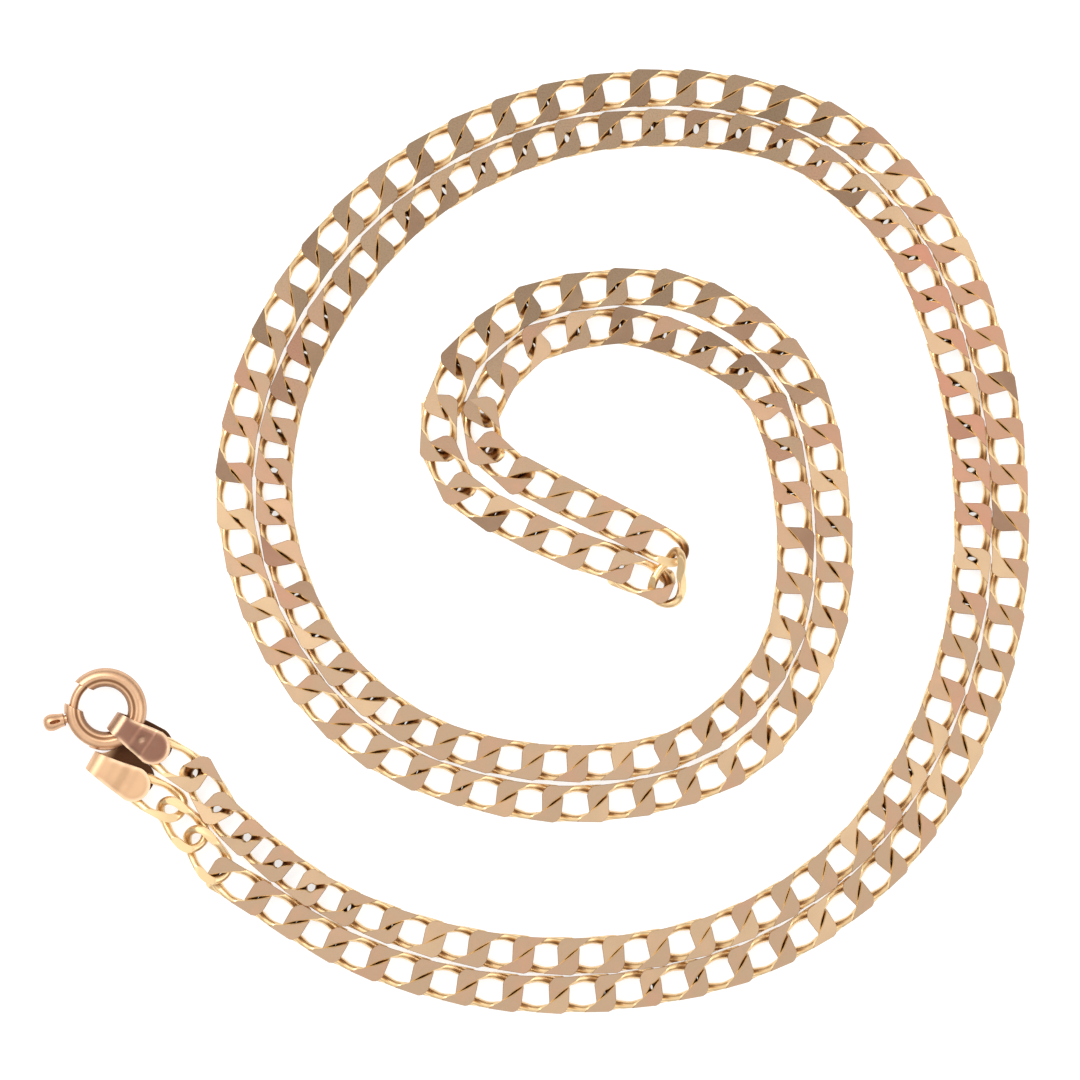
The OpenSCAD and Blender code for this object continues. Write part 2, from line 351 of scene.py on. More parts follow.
def chain_gold(gold):
    """Filed gold: every flat face has its own painted tone, standing in for its reflection, and
    lies at its own slight angle.
    """
    f = Finish("filed_gold", Metallic=1.0)
    seed, face, crease_shade = (f.attribute(name) for name in ("seed", "face", "crease_shade"))
    # The seed and the face's number give each filed face four chances of its own
    key = f.add("ShaderNodeCombineXYZ", {}, {"X": (seed * 1000.0).whole(), "Y": face, "Z": 3.0})
    random = f.add(
        "ShaderNodeTexWhiteNoise", {"noise_dimensions": "3D"}, {"Vector": key.outputs[0]})
    split = f.add("ShaderNodeSeparateColor", {}, {"Color": random.outputs["Color"]})
    chance = [f.number(socket) for socket in (*split.outputs, random.outputs["Value"])]
    filed = face.above(0.4, 0.6)  # 1 on the filed faces, 0 on the wire
    specks = f.noise(SPECKS, 3.0)
    colour, far = face_tone(f, gold, chance, seed, specks)
    # Painted shade darkens the wire where the links cross
    wire = f.mix(crease_shade, gold.wire, gold.crease_shade)
    f.set(Base_Color=f.mix(filed, wire, colour))

    marks = f.grain(26000.0, 3000.0, 0.6)
    f.set(Roughness=filed * (marks * 0.10 + far * 0.06) + 0.30 + specks * 0.05)
    lean = f.vector("SUBTRACT", random.outputs["Color"], (0.5, 0.5, 0.5))[0]
    lean = f.vector("SCALE", lean, Scale=filed * FACE_LEAN)[0]
    geometry = f.add("ShaderNodeNewGeometry")
    leant = f.vector("ADD", geometry.outputs["Normal"], lean)[0]
    leant = f.vector("NORMALIZE", leant)[0]
    f.set(Normal=f.relief((marks * 0.5 + specks * 0.5) * filed, FILE_DEPTH, Normal=leant))
    return f.material


def polished_gold(name, colour, dark, wear, gloss=0.20, seams=()):
    """Rolled and polished gold with cloudy colour, hairline scratches and painted shade along its
    seams and edges.
    """
    f = Finish(name, Metallic=1.0)
    clouds = f.noise(POLISH_CLOUDS, 3.0)
    hair = f.grain(30000.0, 1500.0, 0.5)
    hair_two = f.grain(26000.0, 1200.0, 2.2)
    tone = f.mix(clouds.above(0.35, 0.7) * 0.3 + hair * wear, colour, dark)
    if seams:
        # Each ring of painted shade lies about the clasp's middle: radius, width and depth of shade
        off = f.vector("SUBTRACT", f.place(), (RING_AT[0], RING_AT[1], 0))[0]
        flat = f.vector("MULTIPLY", off, (1 / MM, 1 / MM, 0))[0]
        out = f.number(f.vector("LENGTH", flat)["Value"])
        for radius, width, depth in seams:
            near = out - radius
            tone = f.mix((near * near).above(width * width, 0.0) * depth, tone, TUBE_SHADE_COLOUR)
    tone = f.mix(f.attribute("rim").above(0.0, 1.0), tone, RIM_COLOUR)
    # Painted shade in hollows: the knob's thumb slot and the inner face of a tab's lower strip
    tone = f.mix(f.attribute("crease_shade"), tone, SHADE_COLOUR)
    f.set(Base_Color=tone, Roughness=gloss + clouds * 0.14 + hair * 0.08)
    f.set(Normal=f.relief(hair * 0.5 + hair_two * 0.3 + clouds * 0.2, SCRATCH_DEPTH))
    return f.material


# Mesh helpers

CLASP_EDGE, LINK_EDGE = 35.0, 32.0  # degrees over which an edge is shaded sharp


def link_object(name, mesh):
    obj = bpy.data.objects.new(name, mesh)
    bpy.context.scene.collection.objects.link(obj)
    return obj


def mesh_from(name, points, faces):
    mesh = bpy.data.meshes.new(name)
    mesh.from_pydata([tuple(p) for p in points], [], faces)
    mesh.update()
    return mesh


def mesh_of(bm, name):
    mesh = bpy.data.meshes.new(name)
    bm.to_mesh(mesh)
    bm.free()
    return mesh


def finish_mesh(obj, angle):
    """Smooth shading with sharp edges where faces meet at more than an angle."""
    mesh = obj.data
    mesh.polygons.foreach_set("use_smooth", [True] * len(mesh.polygons))
    mesh.set_sharp_from_angle(angle=math.radians(angle))


def outward(obj):
    """Merges doubles and turns the faces outwards."""
    bm = bmesh.new()
    bm.from_mesh(obj.data)
    bmesh.ops.remove_doubles(bm, verts=bm.verts[:], dist=1e-6)
    bmesh.ops.recalc_face_normals(bm, faces=bm.faces[:])
    bm.to_mesh(obj.data)
    bm.free()


def apply_modifiers(obj):
    deps = bpy.context.evaluated_depsgraph_get()
    mesh = bpy.data.meshes.new_from_object(obj.evaluated_get(deps))
    obj.modifiers.clear()
    obj.data = mesh


def carve(obj, cutters, operation="DIFFERENCE"):
    for cutter in cutters:
        modifier = obj.modifiers.new("Cut", "BOOLEAN")
        modifier.operation = operation
        modifier.solver = "EXACT"
        modifier.object = cutter
    apply_modifiers(obj)
    for cutter in cutters:
        bpy.data.objects.remove(cutter)


def soften(obj, width, segments, angle):
    modifier = obj.modifiers.new("Worn edges", "BEVEL")
    modifier.width = width
    modifier.segments = segments
    modifier.limit_method = "ANGLE"
    modifier.angle_limit = math.radians(angle)
    modifier.use_clamp_overlap = True
    apply_modifiers(obj)


def join_parts(name, parts, finish):
    """Several objects in one, with their attributes kept."""
    bpy.ops.object.select_all(action="DESELECT")
    for part in parts:
        part.select_set(True)
    bpy.context.view_layer.objects.active = parts[0]
    if len(parts) > 1:
        bpy.ops.object.join()
    parts[0].name = name
    parts[0].data.materials.clear()
    parts[0].data.materials.append(finish)
    return parts[0]


# The links' places, read from the CAD


def islands(count, triangles):
    """A label for each point, the same for all points of one loose solid."""
    label = np.arange(count)
    while True:
        low = label[triangles].min(axis=1)
        new = label.copy()
        np.minimum.at(new, triangles.ravel(), np.repeat(low, 3))
        new = new[new]
        if (new == label).all():
            return label
        label = new


def solids(node):
    """The loose solids of a CAD node, each as its triangles' corners in metres."""
    mesh = node.data
    mesh.calc_loop_triangles()
    points = np.zeros(len(mesh.vertices) * 3)
    mesh.vertices.foreach_get("co", points)
    points = points.reshape(-1, 3)
    triangles = np.zeros(len(mesh.loop_triangles) * 3, dtype=np.int64)
    mesh.loop_triangles.foreach_get("vertices", triangles)
    _, merged = np.unique(np.round(points * 1e7), axis=0, return_inverse=True)
    merged = merged.ravel()[triangles].reshape(-1, 3)
    label = islands(merged.max() + 1, merged)[merged[:, 0]]
    corners = points[triangles].reshape(-1, 3, 3)
    return [corners[label == one] for one in np.unique(label)]


def lie_of(corners):
    """Middle and axes of a solid: along its length, across it and through it."""
    a, b, c = corners[:, 0], corners[:, 1], corners[:, 2]
    area = np.linalg.norm(np.cross(b - a, c - a), axis=1)
    centre = (a + b + c) / 3
    middle = (centre * area[:, None]).sum(0) / area.sum()
    off = [p - middle for p in (a, b, c, centre)]
    spread = sum((p * area[:, None]).T @ p * k for p, k in zip(off, (1, 1, 1, 9)))
    _, axes = np.linalg.eigh(spread)
    along, through = axes[:, 2], axes[:, 0]
    through = through * np.sign(through[2])
    return middle, np.column_stack([along, np.cross(through, along), through])


def turn_of(axes):
    return Matrix(axes.tolist()).to_euler()


# The link, in millimetres about its middle: x along it, y across it, z up

ARC_STEPS, SIDE_STEPS, WIRE_SIDES = 14, 6, 12
BOW_HALF = 1.05  # half the length over which a side wire bows out
END_FROM = 1.2  # the bent ends begin this far from the middle
PRESS_REACH = 0.6  # an end's pressing fades this far from the link's axis
TUCK = 0.015  # the wire is cut this far below the filed faces
SIDE_TUCK = 0.045  # and this far inside the filed sides
HELD_AXIS = 0.575  # a tab holds its link's flat end at this height over the floor
TIP_SPARE = 0.02  # a filed face ends this far short of the wire's tip
SLIT_SLOPE, SLIT_START = 0.82, 0.015
SLIT_STOPS = (0, 0.1, 0.2, 0.29, 0.37, 0.44, 0.5, 0.56, 0.63, 0.71, 0.8, 0.9, 1)
EYE_SHARE = 0.11  # how much of the slit an eye takes
SLIT_BEVEL, OUTER_BEVEL = 0.06, 0.03
FOOT_LEVEL = 0.15  # the sides of a filed face seek the wire at this height
FOOT_DEPTH = 0.16  # and run down to it at least this deep
SPARE_FILL, EYE_FILL = -0.035, -0.015  # widening of ends that aren't pressed together
FACE_STEP = 0.014  # filed faces of neighbours lie this far apart in height at most


def bent_end(s, end, flat):
    """The centre line round one end of a link, twisted or held flat in a tab."""
    side = s.width / 2 + s.spread - TUCK - s.wire / 2
    radius = side if flat else side / math.cos(s.twist)
    tilt = 0 if flat else -end * s.twist
    rise = HELD_AXIS - s.thickness / 2 if flat else 0
    arc = []
    for k in range(ARC_STEPS + 1):
        a = math.radians(-90 * end + 180 * k / ARC_STEPS)
        arc.append((end * (s.reach - radius) + radius * math.cos(a),
                    radius * math.sin(a) * math.cos(tilt),
                    radius * math.sin(a) * math.sin(tilt) + rise))
    return np.array(arc)


def link_line(s, flat_end=False):
    """The centre line of a link's wire, as points round it."""
    ends = [bent_end(s, 1, False), bent_end(s, -1, flat_end)]
    line = []
    for arc, other in zip(ends, ends[::-1]):
        line += list(arc)
        line += [arc[-1] + (other[0] - arc[-1]) * k / SIDE_STEPS for k in range(1, SIDE_STEPS)]
    line = np.array(line)
    for _ in range(2):
        line = line * 0.5 + (np.roll(line, 1, 0) + np.roll(line, -1, 0)) * 0.25
    bow = np.cos(np.clip(line[:, 0] / BOW_HALF, -1, 1) * math.pi / 2) ** 2
    line[:, 1] += np.sign(line[:, 1]) * s.bulge * bow
    return line


def wire_ring(s, fill, flat_end):
    """The bent wire of one link, pressed wider at its ends and filed flat on its four sides."""
    line = link_line(s, flat_end)
    ahead = np.roll(line, -1, 0) - np.roll(line, 1, 0)
    ahead /= np.linalg.norm(ahead, axis=1)[:, None]
    out = np.cross(ahead, (0, 0, 1.0))
    out /= np.linalg.norm(out, axis=1)[:, None]
    up = np.cross(out, ahead)
    angles = [FULL_TURN * (k + 0.5) / WIRE_SIDES for k in range(WIRE_SIDES)]
    bm = bmesh.new()
    rows = []
    for i, (x, y, _) in enumerate(line):
        at_end = abs(x) > END_FROM and not (flat_end and x < 0)
        wide = fill * math.exp(-(y / PRESS_REACH) ** 2) if at_end else 0.0
        middle = line[i] - (math.copysign(wide, x), 0, 0)
        rows.append([bm.verts.new(middle + (s.wire / 2 + wide) * (
            math.cos(a) * out[i] + math.sin(a) * up[i])) for a in angles])
    for row, after in zip(rows, rows[1:] + rows[:1]):
        for k in range(WIRE_SIDES):
            m = (k + 1) % WIRE_SIDES
            bm.faces.new((row[k], row[m], after[m], after[k]))
    level, edge = s.thickness / 2 - TUCK, s.width / 2 + s.spread - SIDE_TUCK
    for side in (Vector((0, 0, 1)), Vector((0, 0, -1)), Vector((0, 1, 0)), Vector((0, -1, 0))):
        found = bmesh.ops.bisect_plane(
            bm, geom=bm.verts[:] + bm.edges[:] + bm.faces[:],
            plane_co=side * (level if side.z else edge), plane_no=side, clear_outer=True)
        rim = [e for e in found["geom_cut"] if isinstance(e, bmesh.types.BMEdge)]
        bmesh.ops.holes_fill(bm, edges=rim, sides=0)
    bmesh.ops.recalc_face_normals(bm, faces=bm.faces[:])
    return bm


def filed_face(s, pitch, eye):
    """The outline of the flat face at a link's left end, seen from above, and its bevels."""
    tip = -(s.reach + s.wire / 2) + TIP_SPARE
    inner = -pitch - tip
    middle, edge = -pitch / 2, s.width / 2 + s.spread
    outline = []
    for t in SLIT_STOPS:
        gap = SLIT_START + s.slit * (0.8 + eye) * math.sin(math.pi * t) ** 2
        gap += eye * 0.8 * math.exp(-((t - 0.5) / EYE_SHARE) ** 2)
        x = tip + (inner - tip) * t
        outline.append((x, SLIT_SLOPE * (x - middle) + gap * math.hypot(1, SLIT_SLOPE)))
    bevels = [SLIT_BEVEL] * (len(outline) - 1)
    # Round the link's inside, along its filed side and round its tip
    outline += [(inner + 0.12, 0.74), (inner + 0.46, 0.95), (inner + 0.80, edge - 0.04),
                (tip + 0.55, edge),
                (tip + 0.33, edge - 0.09), (tip + 0.12, edge - 0.34), (tip, edge - 0.62)]
    return outline, bevels + [OUTER_BEVEL] * (len(outline) - len(bevels))


def inset(outline, widths):
    """A closed outline moved inwards, each side by its own width."""
    points = np.array(outline)
    side = np.roll(points, -1, 0) - points
    side /= np.linalg.norm(side, axis=1)[:, None]
    inward = np.column_stack([-side[:, 1], side[:, 0]])
    moved = []
    for k, point in enumerate(points):
        pair = np.array([inward[k - 1], inward[k]])
        both = np.array([widths[k - 1], widths[k]])
        if abs(np.linalg.det(pair)) > 0.1:
            move = np.linalg.solve(pair, both)
        else:
            move = pair.mean(0) * both.mean()
        moved.append(point + move * min(1.0, 3 * both.max() / np.linalg.norm(move)))
    return moved


def face_plate(bm, s, line, outline, bevels, turn, number, layer):
    """A filed face: a flat cap with bevelled sides that run down into the wire."""
    top = s.thickness / 2
    cap = [(x, y, top) for x, y in inset(outline, bevels)]
    rim = [(p[0], p[1], top - max(bevels[k - 1], bevels[k])) for k, p in enumerate(outline)]
    foot = []
    for x, y, z in rim:
        near = line[np.linalg.norm(line - (x, y, FOOT_LEVEL), axis=1).argmin()]
        low = np.array((near[0], near[1], min(near[2], top - FOOT_DEPTH)))
        foot.append(np.array((x, y, z)) * 0.12 + low * 0.88)
    waist = [np.array(a) * (0.72, 0.72, 0.5) + b * (0.28, 0.28, 0.5) for a, b in zip(rim, foot)]
    rows = [[bm.verts.new(turn @ Vector(p)) for p in ring] for ring in (cap, rim, waist, foot)]
    bm.faces.new(rows[0])[layer] = number
    bm.faces.new(rows[-1][::-1])
    for upper, lower in zip(rows, rows[1:]):
        for k in range(len(outline)):
            m = (k + 1) % len(outline)
            side = bm.faces.new((upper[k], lower[k], lower[m], upper[m]))
            if upper is rows[0] and bevels[k] == OUTER_BEVEL:
                side[layer] = number


def crease_shade_of(points, s, depth):
    """How much painted shade each point gets, by how deep it lies in the folds where a link crosses
    its neighbours.
    """
    x, y, z = np.abs(points).T
    inside = np.clip((x - 0.98) / 0.30, 0, 1)
    low = np.clip((s.thickness / 2 - 0.04 - z) / 0.22, 0, 1)
    within = np.clip((1.0 - y) / 0.25, 0, 1) * depth
    return inside * (0.1 + 0.9 * low) * within


def make_link(name, s, pitch, eye, filed, flat_end=False):
    """One link as a mesh in metres, with its faces numbered and the painted shade of its creases
    marked.
    """
    play = 2 * s.reach - s.wire - pitch
    fill = SPARE_FILL if len(filed) < 4 else EYE_FILL if eye else play / 4
    bm = wire_ring(s, fill, flat_end)
    layer = bm.faces.layers.float.new("face")
    turns = {2: Matrix.Rotation(math.pi, 4, "Z"), 4: Matrix.Rotation(math.pi, 4, "Y"),
             1: Matrix.Identity(4), 3: Matrix.Rotation(math.pi, 4, "X")}
    outline, bevels = filed_face(s, pitch, eye)
    line = link_line(s)
    for number, turn in turns.items():
        if number in filed:
            face_plate(bm, s, line, outline, bevels, turn, number, layer)
    bmesh.ops.recalc_face_normals(bm, faces=bm.faces[:])
    mesh = mesh_of(bm, name)
    face = np.zeros(len(mesh.polygons), dtype=np.float32)
    mesh.attributes["face"].data.foreach_get("value", face)
    # Painted shade in the creases, kept on the link's points
    crease_shade = mesh.attributes.new("crease_shade", "FLOAT", "POINT")
    deep = crease_shade_of(np.array([v.co for v in mesh.vertices]), s, 1.0 if filed else 0.3)
    crease_shade.data.foreach_set("value", deep.astype(np.float32))
    mesh.transform(Matrix.Scale(MM, 4))
    obj = link_object(name, mesh)
    finish_mesh(obj, LINK_EDGE)
    mesh.polygons.foreach_set("use_smooth", (face == 0).tolist())
    return obj


# The strands


def strand_tree():
    """Nodes that set a link on every point, turned as the point says."""
    tree = bpy.data.node_groups.new("Strand of links", "GeometryNodeTree")
    tree.is_modifier = True
    for name, way, kind in (
            ("Geometry", "INPUT", "Geometry"), ("Link", "INPUT", "Object"),
            ("Finish", "INPUT", "Material"), ("Link size", "INPUT", "Float"),
            ("Geometry", "OUTPUT", "Geometry")):
        socket = tree.interface.new_socket(name, in_out=way, socket_type="NodeSocket" + kind)
        if kind == "Float":
            socket.default_value = 1.0
    start, end, shape, turn, euler, set_on, real, paint = (tree.nodes.new(kind) for kind in (
        "NodeGroupInput", "NodeGroupOutput", "GeometryNodeObjectInfo",
        "GeometryNodeInputNamedAttribute", "FunctionNodeEulerToRotation",
        "GeometryNodeInstanceOnPoints", "GeometryNodeRealizeInstances",
        "GeometryNodeSetMaterial"))
    turn.data_type = "FLOAT_VECTOR"
    turn.inputs["Name"].default_value = "turn"
    for source, output, target, entry in (
            (start, "Link", shape, "Object"), (turn, "Attribute", euler, 0),
            (start, "Geometry", set_on, "Points"), (shape, "Geometry", set_on, "Instance"),
            (euler, 0, set_on, "Rotation"), (start, "Link size", set_on, "Scale"),
            (set_on, "Instances", real, "Geometry"), (real, "Geometry", paint, "Geometry"),
            (start, "Finish", paint, "Material"), (paint, "Geometry", end, "Geometry")):
        tree.links.new(source.outputs[output], target.inputs[entry])
    return tree


def strand_links(lies, link, finish, tree):
    """All links of one kind as one object."""
    mesh = mesh_from("links", [middle for middle, _, _ in lies], [])
    turn = mesh.attributes.new("turn", "FLOAT_VECTOR", "POINT")
    turn.data.foreach_set("vector", np.array([tuple(t) for _, t, _ in lies]).ravel())
    seed = mesh.attributes.new("seed", "FLOAT", "POINT")
    seed.data.foreach_set("value", [s for _, _, s in lies])
    obj = link_object("links", mesh)
    modifier = obj.modifiers.new("Links", "NODES")
    modifier.node_group = tree
    for item in tree.interface.items_tree:
        if item.in_out == "INPUT" and item.name in ("Link", "Finish"):
            modifier[item.identifier] = link if item.name == "Link" else finish
    apply_modifiers(obj)
    return obj


def held_lie(s, corners, middle, tab_at):
    """Place and turn of the link that a tab holds, its flat end towards the tab."""
    away = middle - tab_at
    turn = math.atan2(away[1], away[0])
    along = np.array((math.cos(turn), math.sin(turn), 0))
    across = np.array((-along[1], along[0], 0))
    flat = corners.reshape(-1, 3)
    mid = [((flat @ d).max() + (flat @ d).min()) / 2 for d in (along, across)]
    at = along * mid[0] + across * mid[1] + np.array((0, 0, s.thickness / 2 * MM))
    return at, (0.0, 0.0, turn)


def lies_of_strand(s, number, node, tab, kinds, eyes):
    """Which kind of link stands at each of a strand's places, with its place, turn and seed."""
    pick = np.random.default_rng(11 + number)
    low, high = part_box(tab)
    tab_at = (np.array(low) + np.array(high)) / 2
    found = [lie_of(c) + (c,) for c in solids(frame["nodes"][node])]
    held = min(range(len(found)), key=lambda k: np.linalg.norm(found[k][0] - tab_at))
    # The inner strand's most tilted link stands at the fold; the one beside it is half filed
    fold = min(found, key=lambda lie: lie[1][2, 2])[0]
    near_fold = sorted(range(len(found)), key=lambda k: np.linalg.norm(found[k][0] - fold))[1]
    tilted = math.cos(math.radians(6.5))  # links that lean more than this are left unfiled
    lies = {kind: [] for kind in kinds}
    for k, (middle, axes, corners) in enumerate(found):
        # Steps of the golden ratio, so that neighbours differ
        seed = number + round((k * 0.61803) % 1.0, 3)
        # Eyes show between most links where the coil is stretched, and between few elsewhere
        stretched = middle[1] > -6 * MM or middle[0] < -14 * MM
        kind = int(pick.integers(len(eyes))) if pick.random() < (0.8 if stretched else 0.12) else 0
        middle = middle + (0, 0, seed % 1.0 * FACE_STEP * MM)
        if k == held:
            lies["first"].append((*held_lie(s, corners, middle, tab_at), seed))
            continue
        if node == "chain_inner" and k == near_fold:
            kind = "half"
            # Its filed end looks away from the fold
            if (fold - middle) @ axes[:, 0] < 0:
                axes = axes * (-1, -1, 1)
        elif axes[2, 2] <= tilted:
            kind = "bare"
        lies[kind].append((middle, turn_of(axes), seed))
    return lies


class MakeChain(bpy.types.Operator):
    """Sets a filed link on each link of the two strands"""

    bl_idname = "necklace.chain"
    bl_label = "Chain"

    def execute(self, context):
        s = sizes_of(context.scene.necklace_chain)
        finish = chain_gold(context.scene.necklace_gold)
        tree = strand_tree()
        # For each strand: its tab, its pitch, its eyes and its first link's filed faces
        strands = {
            "chain_outer": ("end_tab", s.outer_pitch, (0.0, 0.0, 0.10), ()),
            "chain_inner": ("ring_tab", s.inner_pitch, (0.0, 0.19, 0.25), (2, 4))}
        for number, (node, (tab, pitch, eyes, first_filed)) in enumerate(strands.items()):
            kinds = {"first": make_link(node + "_first", s, pitch, eyes[1], first_filed, True),
                     "bare": make_link(node + "_bare", s, pitch, 0.0, ()),
                     "half": make_link(node + "_half", s, pitch, 0.0, (1, 3))}
            for kind, eye in enumerate(eyes):
                kinds[kind] = make_link(node + "_link", s, pitch, eye, (1, 2, 3, 4))
            lies = lies_of_strand(s, number, node, tab, kinds, eyes)
            parts = [strand_links(spots, kinds[kind], finish, tree)
                     for kind, spots in lies.items() if spots]
            piece = join_parts(node + "_filed", parts, finish)
            for link in kinds.values():
                bpy.data.objects.remove(link)
            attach(piece, "necklace")
            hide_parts(node)
        return {"FINISHED"}


# The clasp, in millimetres about the ring's middle

RING_STEPS, TUBE_STEPS = 144, 48
SEAM_ANGLES = (math.radians(107), math.radians(-107))
SEAM_DENT, SEAM_REACH = 0.08, 0.22
GROOVE_HALF = 0.38  # half the width of the trigger's slot
NECK, KNOB = 0.05, 1.55  # where the knob begins and ends outside the ring
POCKET_AT, POCKET_DEEP = 0.66, 0.47  # the thumb slot: along the knob and into it


def revolved(name, profile, steps, start=0.0, sweep=FULL_TURN):
    """A profile of radius and height turned about Z, closed at its ends."""
    whole = abs(sweep - FULL_TURN) < 1e-6
    rows = steps if whole else steps + 1
    points = []
    for i in range(rows):
        a = start + sweep * i / steps
        points += [(r * math.cos(a), r * math.sin(a), z) for r, z in profile]
    n = len(profile)
    faces = []
    for i in range(steps):
        j = (i + 1) % rows
        for k in range(n):
            m = (k + 1) % n
            faces.append((i * n + k, j * n + k, j * n + m, i * n + m))
    if not whole:
        faces += [tuple(range(n))[::-1], tuple((rows - 1) * n + k for k in range(n))]
    obj = link_object(name, mesh_from(name, points, faces))
    outward(obj)
    return obj


def turned(name, profile, steps=28):
    """A closed solid turned about Z from a profile that starts and ends on the axis."""
    points, faces = [(0, 0, profile[0][1])], []
    middle = profile[1:-1]
    for r, z in middle:
        points += [(r * math.cos(FULL_TURN * k / steps), r * math.sin(FULL_TURN * k / steps), z)
                   for k in range(steps)]
    points.append((0, 0, profile[-1][1]))
    last = len(points) - 1
    for k in range(steps):
        m = (k + 1) % steps
        faces.append((0, 1 + m, 1 + k))
        for i in range(len(middle) - 1):
            a, b = 1 + i * steps, 1 + (i + 1) * steps
            faces.append((a + k, a + m, b + m, b + k))
        a = 1 + (len(middle) - 1) * steps
        faces.append((a + k, a + m, last))
    return link_object(name, mesh_from(name, points, faces))


def box_object(name, low, high, turn):
    bm = bmesh.new()
    bmesh.ops.create_cube(bm, size=1.0)
    low, high = Vector(low), Vector(high)
    bm.transform(turn @ Matrix.Translation((high + low) / 2) @ Matrix.Diagonal((*(high - low), 1)))
    return link_object(name, mesh_of(bm, name))


def round_wire(middle, radius, steps):
    """A round profile at a distance from the ring's middle."""
    return [(middle + radius * math.cos(FULL_TURN * k / steps),
             radius * math.sin(FULL_TURN * k / steps)) for k in range(steps)]


def set_down(obj, finish, body, node):
    """Puts a clasp piece in its place."""
    obj.data.transform(Matrix.Translation(RING_AT) @ Matrix.Scale(MM, 4))
    obj.data.materials.clear()
    obj.data.materials.append(finish)
    finish_mesh(obj, CLASP_EDGE)
    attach(obj, body)
    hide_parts(node)


def make_ring(s, middle, r):
    """The tube with its two pressed seams, its saw cut and the trigger's slot."""
    profile = []
    for k in range(TUBE_STEPS):
        a = FULL_TURN * k / TUBE_STEPS
        dent = 0.0
        for seam in SEAM_ANGLES:
            off = (a - seam + math.pi) % FULL_TURN - math.pi
            dent += SEAM_DENT * math.exp(-(off / SEAM_REACH) ** 2)
        profile.append((middle + (r - dent) * math.cos(a), (r - dent) * math.sin(a)))
    # The tube and its bore start a little apart, so that no two of their edges fall together
    ring = revolved("spring_ring_tube", profile, RING_STEPS, s.opening_angle + 0.01)
    bore = round_wire(middle, s.bore / 2, 24)
    hollow = revolved("hollow", bore, RING_STEPS, s.opening_angle + 0.017)
    cut = s.opening / 2
    gap = box_object("gap", (0.2, -cut, -r * 1.2), (s.ring, cut, r * 1.2),
                     Matrix.Rotation(s.opening_angle, 4, "Z"))
    margin = math.asin(GROOVE_HALF / (s.ring / 2))
    slot = [(middle, -GROOVE_HALF), (s.ring, -GROOVE_HALF), (s.ring, GROOVE_HALF),
            (middle, GROOVE_HALF)]
    groove = revolved("groove", slot, 24, s.knob_angle - margin, s.travel + 2 * margin)
    carve(ring, [hollow, gap, groove])
    outward(ring)
    soften(ring, 0.035, 2, 50.0)
    return ring


def make_knob(s):
    """The post and the thumb knob with its slot, standing outwards from the ring."""
    neck, reach = s.ring / 2 + NECK, s.ring / 2 + KNOB
    foot = (s.ring - s.tube) / 2
    post = turned("post", [(0, foot), (0.30, foot), (0.30, neck + 0.1), (0, neck + 0.1)])
    knob = turned("knob", [
        (0, neck), (0.40, neck), (0.45, neck + 0.05), (0.47, neck + 0.30), (0.52, neck + 0.50),
        (0.57, neck + 0.72), (0.59, neck + 0.92), (0.57, neck + 1.12), (0.48, neck + 1.32),
        (0.34, reach - 0.06), (0.16, reach - 0.01), (0, reach)])
    pocket = turned("pocket", [
        (0, -0.40), (0.05, -0.36), (0.08, -0.2), (0.085, 0.0), (0.08, 0.2), (0.05, 0.36),
        (0, 0.40)], 16)
    pocket.data.transform(
        Matrix.Translation((-0.45, 0, neck + POCKET_AT)) @ Matrix.Diagonal((4.5, 1.5, 0.95, 1)))
    for piece in (post, knob, pocket):
        outward(piece)
    carve(knob, [pocket])
    # Painted shade inside the thumb slot, darker where the slot goes deeper
    shade = knob.data.attributes.new("crease_shade", "FLOAT", "POINT")
    for vertex, value in zip(knob.data.vertices, shade.data):
        x, y, z = vertex.co
        inside = abs(y) < 0.14 and abs(z - neck - POCKET_AT) < 0.40 and x < 0
        value.value = (1.0 if x > -POCKET_DEEP else 0.6) if inside else 0.0
    out = Matrix.Rotation(s.knob_angle, 4, "Z") @ Matrix.Rotation(math.pi / 2, 4, "Y")
    for piece in (post, knob):
        piece.data.transform(out)
    return post, knob


def make_bolt(s, middle):
    """The sliding bolt across the opening, in one with its post and knob."""
    half_gap = math.asin(s.opening / 2 / middle)
    begin = s.opening_angle - half_gap - math.radians(2)
    sweep = s.knob_angle + math.radians(16) - begin
    rod = revolved("trigger_bolt_rod", round_wire(middle, s.rod / 2, 20), 40, begin, sweep)
    soften(rod, 0.06, 3, 60.0)
    carve(rod, make_knob(s), "UNION")
    outward(rod)
    rod.name = "trigger_bolt_knob"
    return rod


class MakeClasp(bpy.types.Operator):
    """Makes the ring's seamed tube, the bolt and its thumb knob"""

    bl_idname = "necklace.clasp"
    bl_label = "Spring ring"

    def execute(self, context):
        s, gold = sizes_of(context.scene.necklace_clasp), context.scene.necklace_gold
        middle, r = (s.ring - s.tube) / 2, s.tube / 2
        # Rings of painted shade: along the seam groove, along the tube's inner edge and, fainter,
        # along its outer edge
        seams = ((middle - 0.19, 0.13, 0.85), (middle - r, 0.17, 0.85), (middle + r, 0.07, 0.3))
        finish = polished_gold("clasp_gold", gold.clasp, (0.42, 0.22, 0.12), 0.25, 0.27, seams)
        set_down(make_ring(s, middle, r), finish, "necklace", "spring_ring")
        set_down(make_bolt(s, middle), finish, "bolt", "trigger_bolt")
        return {"FINISHED"}


# The tabs, in millimetres from the fold: x along them, y across them, z up

